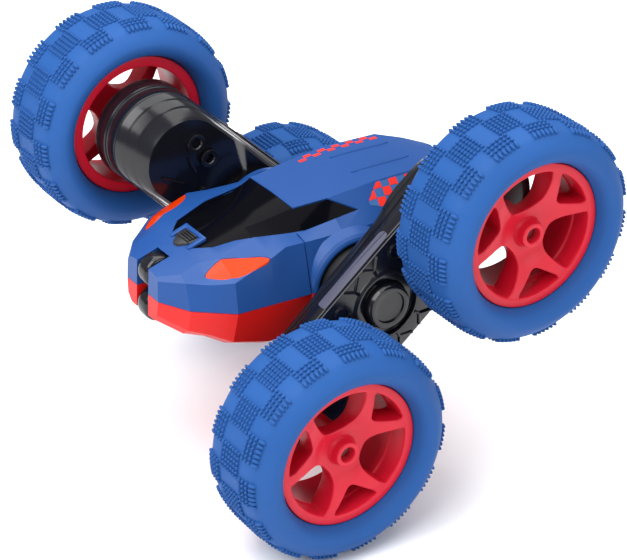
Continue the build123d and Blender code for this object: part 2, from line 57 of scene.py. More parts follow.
WHEEL_X = sum(corner.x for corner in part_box("left_tyre_a")) * 500
BODY = Matrix.Translation(AXIS) @ MM
ARMS = {
    "left": Matrix.Translation(AXIS) @ Matrix.Rotation(TILT, 4, "X") @ MM,
    "right": Matrix.Translation(AXIS) @ Matrix.Rotation(math.pi, 4, "Z") @ Matrix.Rotation(TILT, 4, "X") @ MM,
}

# ---------------------------------------------------------------- dimensions, millimetres
TYRE_R = 38.2
PATCHES = 15
NUB_PITCH = 1.70
NUB_HEIGHT = 0.95
ROWS_PER_PATCH = 6
FLANGE_R = 25.0
FLANGE_X = 11.4
BARREL_R = 22.6
SPOKE_COUNT = 3
SHOULDER_U = 15.0
SPLIT_X = 41.5
FACE_X = 47.5
HUB_HOLE_R = 6.6
ARM_WALL = 1.9


# ---------------------------------------------------------------- camera, light and floor
def make_camera():
    """The viewpoint, from three quarters front left and above."""
    data = bpy.data.cameras.new("camera")
    camera = bpy.data.objects.new("camera", data)
    bpy.context.scene.collection.objects.link(camera)
    right = Vector((0.54771, 0.83587, 0.03664))
    up = Vector((-0.40075, 0.22365, 0.88847))
    back = Vector((0.73445, -0.50131, 0.45747))
    turn = Matrix((right, up, back)).transposed()
    distance = 0.8337
    camera.matrix_world = Matrix.Translation(AXIS + back * distance) @ turn.to_4x4()
    data.sensor_width = 36
    data.lens = 141.02
    data.shift_x = 0.0121
    data.shift_y = -0.0544
    data.clip_start = 0.01
    bpy.context.scene.camera = camera


def area_light(name, place, target, size, power):
    """A soft rectangular light that faces a target."""
    data = bpy.data.lights.new(name, "AREA")
    data.shape = "RECTANGLE"
    data.size, data.size_y = size
    data.energy = power
    light = bpy.data.objects.new(name, data)
    light.location = place
    light.rotation_euler = (Vector(target) - Vector(place)).to_track_quat("-Z", "Y").to_euler()
    bpy.context.scene.collection.objects.link(light)


def make_stage():
    """A pale floor, a pale surround and three soft lights."""
    world = bpy.data.worlds.new("surround")
    world.use_nodes = True
    world.node_tree.nodes["Background"].inputs["Color"].default_value = (0.93, 0.95, 1.0, 1)
    world.node_tree.nodes["Background"].inputs["Strength"].default_value = 0.42
    bpy.context.scene.world = world
    bpy.context.scene.view_settings.view_transform = "Standard"
    middle = (0, 0, AXIS.z)
    area_light("key", (0.15, -0.75, 0.85), middle, (1.0, 0.8), 15.0)
    area_light("overhead", (-0.10, 0.10, 1.10), middle, (1.3, 1.3), 17.0)
    area_light("side", (0.95, 0.40, 0.45), middle, (0.8, 0.6), 4.2)
    bpy.ops.mesh.primitive_plane_add(size=8, location=(0, 0, 0))
    floor = bpy.context.object
    floor.name = "floor"
    paint = new_material("pale_floor")
    shader(paint).inputs["Base Color"].default_value = (0.94, 0.94, 0.95, 1)
    shader(paint).inputs["Roughness"].default_value = 0.6
    floor.data.materials.append(paint)


# ---------------------------------------------------------------- materials
def new_material(name):
    """An empty node material."""
    material = bpy.data.materials.new(name)
    material.use_nodes = True
    return material


def shader(material):
    """The material's main shader node."""
    return material.node_tree.nodes["Principled BSDF"]


def moulded(name, dark, light, rough=(0.3, 0.4), coat=0.0, coat_rough=0.1, grain=(260.0, 0.02), cloud=18.0,
            specular=0.5, metallic=0.0):
    """Moulded plastic or rubber: slow colour variation, uneven roughness and a fine surface grain."""
    material = new_material(name)
    nodes, links = material.node_tree.nodes, material.node_tree.links
    bsdf = shader(material)
    place = nodes.new("ShaderNodeTexCoord")
    slow = nodes.new("ShaderNodeTexNoise")
    slow.inputs["Scale"].default_value = cloud
    slow.inputs["Detail"].default_value = 4
    links.new(place.outputs["Object"], slow.inputs["Vector"])
    blend = nodes.new("ShaderNodeValToRGB")
    blend.color_ramp.elements[0].position = 0.3
    blend.color_ramp.elements[1].position = 0.7
    blend.color_ramp.elements[0].color = (*dark, 1)
    blend.color_ramp.elements[1].color = (*light, 1)
    links.new(slow.outputs["Fac"], blend.inputs["Fac"])
    links.new(blend.outputs["Color"], bsdf.inputs["Base Color"])
    fine = nodes.new("ShaderNodeTexNoise")
    fine.inputs["Scale"].default_value = grain[0] * 4
    fine.inputs["Detail"].default_value = 3
    links.new(place.outputs["Object"], fine.inputs["Vector"])
    spread = nodes.new("ShaderNodeMapRange")
    spread.inputs["To Min"].default_value = rough[0]
    spread.inputs["To Max"].default_value = rough[1]
    links.new(slow.outputs["Fac"], spread.inputs["Value"])
    links.new(spread.outputs["Result"], bsdf.inputs["Roughness"])
    bump = nodes.new("ShaderNodeBump")
    bump.inputs["Strength"].default_value = grain[1]
    bump.inputs["Distance"].default_value = 0.0002
    links.new(fine.outputs["Fac"], bump.inputs["Height"])
    links.new(bump.outputs["Normal"], bsdf.inputs["Normal"])
    bsdf.inputs["Coat Weight"].default_value = coat
    bsdf.inputs["Coat Roughness"].default_value = coat_rough
    bsdf.inputs["Specular IOR Level"].default_value = specular
    bsdf.inputs["Metallic"].default_value = metallic
    return material


def make_materials():
    """Each finish: dark and light colour, range of roughness, coat, coat roughness, grain."""
    paint = {
        "blue": moulded("blue_plastic", (0.010, 0.054, 0.205), (0.013, 0.061, 0.228), (0.30, 0.38), 0.0, 0.18,
                        specular=0.22),
        "red": moulded("red_plastic", (0.60, 0.006, 0.005), (0.68, 0.009, 0.007), (0.34, 0.42), 0.0, 0.18,
                       specular=0.25),
        "rim": moulded("rim_plastic", (0.50, 0.004, 0.018), (0.56, 0.006, 0.025), (0.36, 0.44), 0.0, 0.25,
                       specular=0.3),
        "tyre": moulded("blue_rubber", (0.013, 0.070, 0.240), (0.017, 0.080, 0.270), (0.55, 0.66), 0.0, 0.3,
                        (420.0, 0.10), 26.0, 0.15),
        "black": moulded("gloss_black", (0.004, 0.004, 0.007), (0.007, 0.007, 0.010), (0.14, 0.20), 0.0, 0.05,
                         (120.0, 0.015), specular=0.42),
        "satin": moulded("satin_black", (0.008, 0.008, 0.010), (0.014, 0.014, 0.016), (0.36, 0.46), 0.0, 0.2),
        "glazing": moulded("dark_glazing", (0.0012, 0.0012, 0.0025), (0.002, 0.002, 0.0035), (0.06, 0.09),
                           0.0, 0.04, (60.0, 0.006), specular=0.03),
        "ink": moulded("red_ink", (0.66, 0.022, 0.016), (0.74, 0.032, 0.022), (0.34, 0.42), specular=0.25),
        "pale_blue": moulded("pale_blue_ink", (0.030, 0.095, 0.26), (0.036, 0.105, 0.28), (0.34, 0.42),
                             0.0, 0.18, specular=0.25),
        "strip": moulded("grey_inlay", (0.048, 0.048, 0.080), (0.062, 0.062, 0.098), (0.42, 0.52), 0.0, 0.2,
                         (500.0, 0.25)),
        "lens": moulded("orange_lens", (0.52, 0.026, 0.001), (0.62, 0.040, 0.001), (0.12, 0.18),
                        0.0, 0.08, specular=0.12),
        "steel": moulded("bright_steel", (0.42, 0.42, 0.44), (0.52, 0.52, 0.54), (0.25, 0.35), 0.0, 0.1,
                         (700.0, 0.08), 60.0, 0.5, 1.0),
        "gear": moulded("white_nylon", (0.62, 0.61, 0.57), (0.70, 0.69, 0.66), (0.4, 0.5)),
        "board": moulded("green_board", (0.010, 0.10, 0.035), (0.014, 0.13, 0.05), (0.35, 0.45)),
        "cell": moulded("cell_wrap", (0.05, 0.20, 0.10), (0.07, 0.26, 0.13), (0.25, 0.35), 0.4, 0.1),
    }
    lens = shader(paint["lens"])
    lens.inputs["Emission Color"].default_value = (1.0, 0.10, 0.0, 1)
    lens.inputs["Emission Strength"].default_value = 0.08
    return paint


# ---------------------------------------------------------------- mesh helpers
def skin(rings, close=False, cap_first=False, cap_last=False):
    """Quads between rings of equal length, with optional flat caps or the last ring joined to the first."""
    count = len(rings[0])
    verts = [point for ring in rings for point in ring]
    faces = []
    for index in range(len(rings) if close else len(rings) - 1):
        a = index * count
        b = (index + 1) % len(rings) * count
        faces += [(a + k, a + (k + 1) % count, b + (k + 1) % count, b + k) for k in range(count)]
    if cap_first:
        faces.append(tuple(reversed(range(count))))
    if cap_last:
        faces.append(tuple(range((len(rings) - 1) * count, len(rings) * count)))
    return verts, faces


def rounded(points, radius, steps=3):
    """A closed outline with each corner eased by a short curve."""
    points = [Vector(point) for point in points]
    result = []
    for index, point in enumerate(points):
        before = points[index - 1] - point
        after = points[(index + 1) % len(points)] - point
        start = point + before.normalized() * min(radius, before.length * 0.45)
        end = point + after.normalized() * min(radius, after.length * 0.45)
        for step in range(steps + 1):
            t = step / steps
            result.append(tuple(start * (1 - t) ** 2 + point * 2 * t * (1 - t) + end * t * t))
    return result


def smooth_through(points, steps=6, closed=False):
    """Catmull-Rom points through the given ones."""
    points = [Vector(point) for point in points]
    count = len(points)
    result = []
    for index in range(count if closed else count - 1):
        if closed:
            a, b, c, d = (points[(index + k) % count] for k in (-1, 0, 1, 2))
        else:
            a, b = points[max(index - 1, 0)], points[index]
            c, d = points[index + 1], points[min(index + 2, count - 1)]
        for step in range(steps):
            t = step / steps
            result.append(0.5 * (2 * b + (c - a) * t + (2 * a - 5 * b + 4 * c - d) * t * t
                                 + (3 * b - a - 3 * c + d) * t ** 3))
    if not closed:
        result.append(points[-1])
    return [tuple(point) for point in result]


def lathe(profile, segments=96, u=0.0, close=True):
    """A profile of (x, radius) turned about the X axis at distance u along the arm."""
    rings = []
    for x, radius in profile:
        ring = []
        for step in range(segments):
            angle = 2 * math.pi * step / segments
            ring.append((x, u + radius * math.cos(angle), radius * math.sin(angle)))
        rings.append(ring)
    return skin(rings, close=close, cap_first=not close, cap_last=not close)


def make(name, parts, material, body=None, place=BODY, smooth=35.0):
    """One object from several (points, faces) parts, placed in the frame and riding on a body."""
    verts, faces = [], []
    for part_verts, part_faces in parts:
        shift = len(verts)
        verts += [place @ Vector(point) for point in part_verts]
        faces += [tuple(index + shift for index in face) for face in part_faces]
    mesh = bpy.data.meshes.new(name)
    mesh.from_pydata([tuple(point) for point in verts], [], faces)
    return finish_piece(name, mesh, material, body, smooth)


def finish_piece(name, mesh, material, body, smooth):
    """Turns a mesh into an object with outward faces, a material and a body."""
    work = bmesh.new()
    work.from_mesh(mesh)
    bmesh.ops.recalc_face_normals(work, faces=work.faces)
    work.to_mesh(mesh)
    work.free()
    mesh.materials.append(material)
    piece = bpy.data.objects.new(name, mesh)
    bpy.context.scene.collection.objects.link(piece)
    soften(mesh, smooth)
    if body:
        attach(piece, body)
    return piece


def soften(mesh, angle):
    """Smooth shading, except at edges sharper than the angle in degrees."""
    mesh.shade_smooth()
    mesh.set_sharp_from_angle(angle=math.radians(angle))


def apply_modifiers(piece):
    """Bakes the piece's modifiers into its mesh."""
    graph = bpy.context.evaluated_depsgraph_get()
    baked = bpy.data.meshes.new_from_object(piece.evaluated_get(graph))
    piece.modifiers.clear()
    piece.data = baked


def cut(piece, cutter, operation="DIFFERENCE"):
    """Booleans the piece with a cutter, which is then removed."""
    bpy.context.view_layer.update()
    modifier = piece.modifiers.new("cut", "BOOLEAN")
    modifier.operation = operation
    modifier.solver = "EXACT"
    modifier.object = cutter
    bpy.context.view_layer.update()
    apply_modifiers(piece)
    bpy.data.objects.remove(cutter)


def ease(piece, width, angle=28.0, segments=2, smooth=35.0):
    """Small rounded edges, in millimetres."""
    modifier = piece.modifiers.new("ease", "BEVEL")
    modifier.width = width * 0.001
    modifier.segments = segments
    modifier.limit_method = "ANGLE"
    modifier.angle_limit = math.radians(angle)
    modifier.miter_outer = "MITER_ARC"
    bpy.context.view_layer.update()
    apply_modifiers(piece)
    soften(piece.data, smooth)


# ---------------------------------------------------------------- tyres
TREAD = [(0.0, 37.05), (5.0, 37.05), (7.6, 36.95), (9.6, 36.65), (11.6, 36.1), (12.9, 35.3), (14.4, 33.9)]
SIDEWALL = [(15.8, 32.2), (16.6, 30.3), (16.2, 28.2), (14.6, 26.5), (12.4, 25.6), (10.6, 25.25)]


def tread_point(x):
    """Radius of the tyre's base surface at a distance from its middle, with the outward direction."""
    side = math.copysign(1, x)
    curve = smooth_through(TREAD + SIDEWALL, 8)
    for (x0, r0), (x1, r1) in zip(curve, curve[1:]):
        if x0 <= abs(x) <= x1:
            share = (abs(x) - x0) / max(x1 - x0, 1e-9)
            along = Vector((x1 - x0, r1 - r0)).normalized()
            outward = Vector((-along.y * side, along.x))
            return r0 + (r1 - r0) * share, outward, Vector((along.x * side, along.y))
    raise ValueError("no tread there")


# up a nub: share of its height, then half its width
NUB_LEVELS = ((-0.4, 0.66), (0.45, 0.62), (0.8, 0.50), (1.0, 0.26))
SHOULDER_ROWS = (6.3, 7.95, 9.6)
LUG_X, LUG_LENGTH = 11.7, 1.5
MIDDLE_START, MIDDLE_PITCH = -4.5, 1.5


def nub(x, angle, length, radius, normal, along):
    """One rubber nub: a low rounded post on the tread, longer than wide on the shoulder rows."""
    rings = []
    for lift, size in NUB_LEVELS:
        ring = []
        for step in range(8):
            turn = math.pi * (step + 0.5) / 4
            stretch = math.cos(turn) * (size + length / 2)
            sideways = math.sin(turn) * size
            height = lift * NUB_HEIGHT
            px = x + along.x * stretch + normal.x * height
            pr = radius + along.y * stretch + normal.y * height
            ring.append((px, pr * math.cos(angle) - sideways * math.sin(angle),
                         pr * math.sin(angle) + sideways * math.cos(angle)))
        rings.append(ring)
    return skin(rings, cap_first=True, cap_last=True)


def tyre_nubs():
    """Staggered patches of nubs: three columns round the tread, the middle one half a step on."""
    rows = []
    for side in (-1, 1):
        rows += [(side * x, 0.0, 0.0) for x in SHOULDER_ROWS]
        rows.append((side * LUG_X, LUG_LENGTH, 0.0))
    rows += [(MIDDLE_START + MIDDLE_PITCH * k, 0.0, 0.5) for k in range(7)]
    parts = []
    for x, length, shift in rows:
        radius, normal, along = tread_point(x)
        for patch in range(PATCHES):
            start = (patch + shift) * 2 * math.pi / PATCHES
            for row in range(ROWS_PER_PATCH):
                angle = start + (row - (ROWS_PER_PATCH - 1) / 2) * NUB_PITCH / TYRE_R
                parts.append(nub(x, angle, length, radius, normal, along))
    return parts


def tyre_parts():
    """The turned tyre, with the seat that the rim fills, and its nubs."""
    half = smooth_through(TREAD + SIDEWALL, 4)
    profile = [(-x, r) for x, r in reversed(half)] + half[1:]
    seat_x, bead_r, seat_r = 9.75, 25.1, 22.9
    profile += [(seat_x, bead_r), (seat_x, seat_r), (-seat_x, seat_r), (-seat_x, bead_r)]
    return [lathe(profile, 120)] + tyre_nubs()


# ---------------------------------------------------------------- rims
# windows as (radius, degrees) corners
BIG_WINDOW = [(22.6, -25.5), (22.7, -12), (22.7, 0), (22.7, 12), (22.6, 25.5), (20.6, 29.5), (15.6, 32.5),
              (11.6, 33.0), (9.0, 26.0), (7.7, 12.0), (7.5, 0.0), (7.7, -12.0), (9.0, -26.0), (11.6, -33.0),
              (15.6, -32.5), (20.6, -29.5)]
SMALL_WINDOW = [(22.6, -21.0), (22.7, -10), (22.7, 0), (22.7, 10), (22.6, 21.0), (20.6, 22.8), (17.4, 18.0),
                (14.6, 11.0), (13.1, 4.0), (13.1, -4.0), (14.6, -11.0), (17.4, -18.0), (20.6, -22.8)]
WEB_R = 23.6
BARREL_IN_R = 21.9
WEB_FRONT_X = FLANGE_X - 0.15
WEB_DEPTH = 9.0
WEB_EDGE = 0.55
WEB_CELL = 1.25
# the dished front of the spokes, as (radius, depth) corners
DISH = [(0, 3.7), (7.0, 3.7), (9.0, 3.3), (12.0, 1.9), (15.5, 0.8), (19.0, 0.1), (30, 0.0)]


def window(points, turn):
    """A window's smooth (u, n) outline, turned about the axle."""
    corners = []
    for radius, degrees in points:
        angle = math.radians(degrees + turn)
        corners.append((radius * math.cos(angle), radius * math.sin(angle)))
    return smooth_through(corners, 4, closed=True)


def dish(radius):
    """How far the spokes' front face falls back towards the hub."""
    for (r0, d0), (r1, d1) in zip(DISH, DISH[1:]):
        if r0 <= radius <= r1:
            t = (radius - r0) / (r1 - r0)
            return d0 + (d1 - d0) * t
    return 0.0


def spoke_web():
    """The forked spokes: a pierced disc with eased edges whose front is dished towards the hub."""
    curve = bpy.data.curves.new("spoke_web", "CURVE")
    curve.dimensions = "2D"
    curve.fill_mode = "BOTH"
    outlines = [[(WEB_R * math.cos(a), WEB_R * math.sin(a)) for a in (math.pi * k / 48 for k in range(96))]]
    for index in range(SPOKE_COUNT):
        turn = index * 360 / SPOKE_COUNT
        outlines.append(window(SMALL_WINDOW, turn))
        outlines.append(window(BIG_WINDOW, turn + 180 / SPOKE_COUNT))
    for outline in outlines:
        spline = curve.splines.new("POLY")
        spline.points.add(len(outline) - 1)
        for point, (u, n) in zip(spline.points, outline):
            point.co = (u, n, 0, 1)
        spline.use_cyclic_u = True
    curve.extrude = WEB_DEPTH / 2 - WEB_EDGE
    curve.bevel_depth = WEB_EDGE
    curve.bevel_resolution = 3
    holder = bpy.data.objects.new("spoke_web", curve)
    bpy.context.scene.collection.objects.link(holder)
    bpy.context.view_layer.update()
    mesh = bpy.data.meshes.new_from_object(holder.evaluated_get(bpy.context.evaluated_depsgraph_get()))
    bpy.data.objects.remove(holder)
    work = bmesh.new()
    work.from_mesh(mesh)
    bmesh.ops.remove_doubles(work, verts=work.verts, dist=0.002)
    for axis in ((1, 0, 0), (0, 1, 0)):
        for step in range(-17, 18):
            place = Vector(axis) * step * WEB_CELL
            geometry = work.verts[:] + work.edges[:] + work.faces[:]
            bmesh.ops.bisect_plane(work, geom=geometry, plane_co=place, plane_no=axis, dist=1e-4)
    for vert in work.verts:
        radius = math.hypot(vert.co.x, vert.co.y)
        if radius > BARREL_IN_R:
            vert.co.xy *= (BARREL_IN_R + 0.25 * (radius - BARREL_IN_R)) / radius
        lift = vert.co.z + WEB_FRONT_X - WEB_DEPTH / 2
        if vert.co.z > 0:
            lift -= dish(radius)
        vert.co = (lift, vert.co.x, vert.co.y)
    verts = [tuple(vert.co) for vert in work.verts]
    work.verts.index_update()
    faces = [tuple(vert.index for vert in face.verts) for face in work.faces]
    work.free()
    return verts, faces


def rim_parts():
    """The barrel with its two flanges, the spokes, the boss and the axle tube behind them."""
    back, lip = -FLANGE_X, 9.9
    barrel = [(back, 21.3), (back, FLANGE_R), (-lip, FLANGE_R), (-lip, BARREL_R), (lip, BARREL_R)]
    barrel += [(lip, FLANGE_R), (FLANGE_X, FLANGE_R), (FLANGE_X, 22.2), (10.4, 21.85), (4.6, 21.85)]
    barrel.append((4.0, 21.3))
    boss = [(FLANGE_X - 0.1, 4.3), (FLANGE_X - 0.1, 2.6), (5.5, 2.6), (5.5, 5.6), (7.2, 5.6), (8.6, 4.6)]
    tube = [(6.2, 5.2), (6.2, 1.6), (-10.4, 1.6), (-10.4, 5.2)]
    parts = [lathe(rounded(barrel, 0.4), 128), spoke_web()]
    return parts + [lathe(rounded(boss, 0.5), 48), lathe(rounded(tube, 0.4), 48)]


# ---------------------------------------------------------------- arms
# where along the arm the bands start and finish running out over the motor end
RISE_START, RISE_END = 16.0, 31.0
# how many points share out each straight side, by the corner that the side ends at
SIDE_POINTS = {29: 10, 31: 22, 60: 22, 62: 10}


def arm_ring(x, r_motor, r_shoulder, r_far, inset=0.0, motor_x=None, shift=0.0):
    """The arm's outline as a ring of points: round ends and straight tapering sides.

    The motor end may stand at another x than the rest, and its centre may be shifted to the pivot."""
    motor_u = REACH - shift
    circles = ((motor_u, r_motor - inset), (SHOULDER_U, r_shoulder - inset), (-REACH, r_far - inset))
    lean = math.asin((r_shoulder - r_motor) / (motor_u - SHOULDER_U))
    turns = [(0, -math.pi / 2 + lean + (math.pi - 2 * lean) * k / 28) for k in range(29)]
    turns += [(1, math.pi / 2 - lean), (1, math.pi / 2)]
    turns += [(2, math.pi / 2 + math.pi * k / 28) for k in range(29)]
    turns += [(1, -math.pi / 2), (1, -math.pi / 2 + lean)]
    ring = []
    for index, (circle, angle) in enumerate(turns):
        centre, radius = circles[circle]
        point = (x, centre + radius * math.cos(angle), radius * math.sin(angle))
        ring += between(ring[-1], point, SIDE_POINTS[index]) if index in SIDE_POINTS else []
        ring.append(point)
    ring += between(ring[-1], ring[0], SIDE_POINTS[len(turns)])
    if motor_x is None:
        return ring
    rise = [ramp((u - RISE_START) / (RISE_END - RISE_START)) for _, u, _ in ring]
    return [(x + (motor_x - x) * share, u, n) for share, (_, u, n) in zip(rise, ring)]


def ramp(t):
    """A smooth step from 0 to 1."""
    t = min(max(t, 0.0), 1.0)
    return t * t * (3 - 2 * t)


def between(start, end, count):
    """Points that share out a straight side."""
    steps = [(k + 1) / (count + 1) for k in range(count)]
    return [tuple(a + (b - a) * t for a, b in zip(start, end)) for t in steps]


def round_ring(x, radius, like):
    """A circle about the pivot with another ring's number of points, matched to it by direction."""
    ring = []
    for _, u, n in like:
        angle = math.atan2(n, u)
        ring.append((x, radius * math.cos(angle), radius * math.sin(angle)))
    return ring


def eased_levels(levels, edge=0.35):
    """Rings up a stack of (x0, x1, motor, shoulder, far) levels, with each outer edge eased."""
    rings = []
    for x0, x1, motor, shoulder, far in levels:
        for x, inset in ((x0, edge), (x0 + 0.3 * edge, 0.3 * edge), (x0 + edge, 0.0),
                         (x1 - edge, 0.0), (x1 - 0.3 * edge, 0.3 * edge), (x1, edge)):
            rings.append(arm_ring(x, motor, shoulder, far, inset))
    return rings


# bands of the outboard half: x of both edges, then motor, shoulder and far radius
COVER = [(SPLIT_X, 46.2, 17.3, 18.0, 18.0), (46.45, FACE_X, 17.6, 18.0, 18.0)]
HOUSING_X = 34.0
INNER_FACE_X = 30.6
# bands of the inboard half: x and motor-end x of both edges, shifts of the motor centre, radii at both edges
HOUSING = [
    ((HOUSING_X, INNER_FACE_X), (36.4, 34.6), (6.2, 3.6), (15.6, 15.9, 14.4), (16.2, 16.3, 15.4)),
    ((36.7, 34.9), (38.9, 38.0), (3.5, 1.6), (16.5, 16.6, 15.7), (16.8, 16.9, 16.4)),
    ((39.2, 38.3), (SPLIT_X, SPLIT_X), (1.5, 0.1), (17.0, 17.0, 16.7), (17.2, 17.4, 17.2)),
]


def housing_parts():
    """The inboard half of an arm: three tapering bands over the motor end, and a flat inner face."""
    rings = []
    for (x0, m0), (x1, m1), (shift0, shift1), start, end in HOUSING:
        edge = 0.9 if x0 == HOUSING_X else 0.5
        for depth in (edge, 0.3 * edge, 0.0):
            rings.append(arm_ring(x0 + edge - depth, *start, depth, m0 + edge - depth, shift0))
        for depth in (0.0, 0.15, 0.5):
            rings.append(arm_ring(x1 - 0.3 + 0.6 * depth, *end, depth, m1 - 0.3 + 0.6 * depth, shift1))
    outline = rings[0]
    floor_x = 36.0
    inner = [arm_ring(SPLIT_X, 17.1, 17.0, 16.9, ARM_WALL, SPLIT_X, 0.8)]
    inner.append(arm_ring(floor_x, 15.6, 15.9, 14.4, ARM_WALL, 33.0, 6.2))
    inner.append(round_ring(floor_x, HUB_HOLE_R, outline))
    shell = skin([round_ring(HOUSING_X, HUB_HOLE_R, outline), *rings, *inner], close=True)
    bosses = [boss(30.2, 31.0, 40.0, 6.5, 3.4), boss(30.2, 31.4, 31.5, 5.0, 3.2)]
    bosses += [boss(31.6, 33.4, 23.5, -5.5, 2.0), boss(33.4, 34.2, -28.0, 4.0, 3.0)]
    bosses.append(boss(33.5, 34.2, -20.0, -5.0, 2.2))
    ribs = [inner_rib((34.5, -7.0), (43.0, -9.5)), inner_rib((33.0, -1.5), (38.0, 1.0))]
    return [shell] + bosses + ribs


def inner_rib(start, end):
    """A low round-topped rib on the flat inner face of the motor end."""
    verts, faces = rib(start, end, 0.8, 0.45)
    return [(INNER_FACE_X - (x - FACE_X), u, n) for x, u, n in verts], faces


def boss(x0, x1, u, n, radius):
    """A low round pad with a dished middle."""
    profile = [(x1, radius), (x0, radius), (x0, radius * 0.62), (x0 + 0.5, radius * 0.5), (x1, radius * 0.5)]
    verts, faces = lathe(rounded(profile, 0.2), 28)
    return [(x, y + u, z + n) for x, y, z in verts], faces


def rib(start, end, width=1.1, height=0.6):
    """A raised round-topped rib on the outer face between two (u, n) points."""
    (u0, n0), (u1, n1) = start, end
    along = Vector((u1 - u0, n1 - n0)).normalized()
    across = Vector((-along.y, along.x))
    section = [(-0.5, -0.4), (-0.5, 0.25), (-0.34, 0.75), (0.0, 1.0), (0.34, 0.75), (0.5, 0.25), (0.5, -0.4)]
    rings = []
    for u, n in (start, end):
        ring = []
        for side, lift in section:
            ring.append((FACE_X + lift * height, u + across.x * side * width, n + across.y * side * width))
        rings.append(ring)
    return skin(rings, cap_first=True, cap_last=True)


# the rings round the pivot on the outer face, as (x, radius) corners
PIVOT_RINGS = [
    (FACE_X, 12.9), (48.2, 12.4), (48.5, 12.0), (48.5, 11.5), (48.2, 11.3), (46.9, 11.2), (46.7, 10.9),
    (46.7, 8.6), (46.9, 8.3), (49.6, 7.7), (49.9, 7.45), (50.0, 7.1), (50.0, 5.9), (49.9, 5.6),
    (49.2, 5.35), (49.1, 5.1), (49.05, 3.0),
]
# forked ribs on the outer face: distance along the arm, and side
FORKS = ((5.0, 1), (-4.3, 1), (5.6, -1), (-4.3, -1))
COVER_SCREWS = ((14.6, 12.4), (-12.5, 12.4), (-12.5, -12.4), (14.6, -12.4))


def cover_parts():
    """The outboard half of an arm: ringed centre boss, forked ribs, axle boss and the motor drum."""
    rings = eased_levels(COVER)
    outline = rings[-1]
    face = [round_ring(x, r, outline) for x, r in PIVOT_RINGS]
    inner = [round_ring(47.0, 3.0, outline), round_ring(45.4, 8.6, outline),
             round_ring(45.4, 12.4, outline), round_ring(46.2, 13.2, outline)]
    inner.append(arm_ring(46.2, 17.3, 18.0, 18.0, ARM_WALL))
    inner.append(arm_ring(SPLIT_X, 17.3, 18.0, 18.0, ARM_WALL))
    shell = skin(rings + face + inner, close=True)
    cap = lathe([(49.05, 3.05), (48.2, 3.05)], 48, close=False)
    drum = [(46.6, 17.2), (47.5, 17.3), (47.9, 17.7), (52.4, 18.0), (53.2, 17.8), (53.5, 17.2), (53.5, 14.5)]
    drum += [(53.2, 14.0), (53.2, 3.4), (53.5, 3.2), (53.5, 1.7), (52.0, 1.7), (52.0, 15.5), (46.6, 16.0)]
    parts = [shell, cap, lathe(drum, 96, REACH)]
    axle = [(46.8, 5.4), (48.0, 5.2), (48.6, 4.6), (51.0, 4.3), (51.0, 1.7), (46.8, 1.7)]
    parts.append(lathe(rounded(axle, 0.25), 48, -REACH))
    for u0, side in FORKS:
        joint = (u0, side * 14.2)
        parts.append(rib((u0 * 0.9, side * 11.9), joint))
        for end in (u0 + 4.0, u0 - 2.4):
            parts.append(rib(joint, (end, side * 17.5)))
    return parts + [screw_boss(u, n) for u, n in COVER_SCREWS]


def screw_boss(u, n):
    """A round recess wall for a cover screw."""
    profile = [(47.0, 3.1), (48.1, 3.0), (48.4, 2.7), (48.4, 2.3), (48.0, 2.1), (47.2, 2.05), (47.0, 2.0)]
    verts, faces = lathe(profile, 32)
    return [(x, y + u, z + n) for x, y, z in verts], faces


def strip_parts():
    """The grey inlay along the arm's upper edge: a long rounded bar."""
    x0, x1, u0, u1 = 42.0, 46.1, -15.0, 17.0
    outline = [(x0, u0), (x1, u0), (x1, u1 - 1.2), (x1 - 1.2, u1), (x0 + 1.2, u1), (x0, u1 - 1.2)]
    outline = rounded(outline, 0.9, 4)
    middle = Vector(((x0 + x1) / 2, (u0 + u1) / 2))
    rings = []
    for n, inset in ((17.2, 0.0), (18.0, 0.0), (18.16, 0.06), (18.2, 0.25)):
        ring = []
        for x, u in outline:
            ring.append((x - math.copysign(inset, x - middle.x), u - math.copysign(inset, u - middle.y), n))
        rings.append(ring)
    return [skin(rings, cap_first=True, cap_last=True)]


# ---------------------------------------------------------------- body shells
BELLY_Z = -19.0
# cross-sections of the body: y, then half-outline corners (x, z) from the split line to the middle
UPPER = [
    (-63.8, [(10.0, 0), (9.6, 7.4), (8.4, 8.6), (6.0, 9.2), (0, 9.3)]),
    (-57.8, [(20.6, 0), (17.2, 8.6), (13.8, 10.4), (8.0, 11.2), (0, 11.4)]),
    (-51.6, [(25.2, 0), (22.6, 8.9), (14.0, 13.0), (8.0, 13.6), (0, 13.4)]),
    (-45.4, [(29.7, 0), (27.4, 10.2), (18.2, 15.1), (8.0, 15.5), (0, 15.3)]),
    (-31.2, [(29.8, 0), (27.0, 15.8), (14.4, 18.0), (9.8, 19.0), (0, 19.3)]),
    (-24.4, [(29.8, 0), (24.3, 16.7), (16.6, 17.9), (11.3, 20.8), (0, 21.2)]),
    (-14.9, [(29.8, 0), (24.4, 16.6), (19.7, 17.8), (13.2, 23.8), (0, 24.2)]),
    (-2.3, [(29.7, 0), (24.6, 16.8), (20.0, 19.7), (14.7, 25.0), (0, 25.8)]),
    (8.0, [(29.6, 0), (24.6, 17.0), (20.1, 21.3), (15.2, 26.3), (0, 27.2)]),
    (16.0, [(29.2, 0), (24.2, 17.2), (20.0, 22.2), (15.4, 27.4), (0, 28.1)]),
    (36.7, [(24.6, 0), (21.4, 17.5), (18.2, 23.4), (14.7, 27.8), (0, 28.3)]),
    (44.5, [(18.4, 0), (15.4, 17.5), (12.4, 23.0), (9.4, 26.9), (0, 27.6)]),
    (50.3, [(9.0, 0), (7.6, 17.2), (6.0, 22.4), (4.2, 25.8), (0, 26.6)]),
]
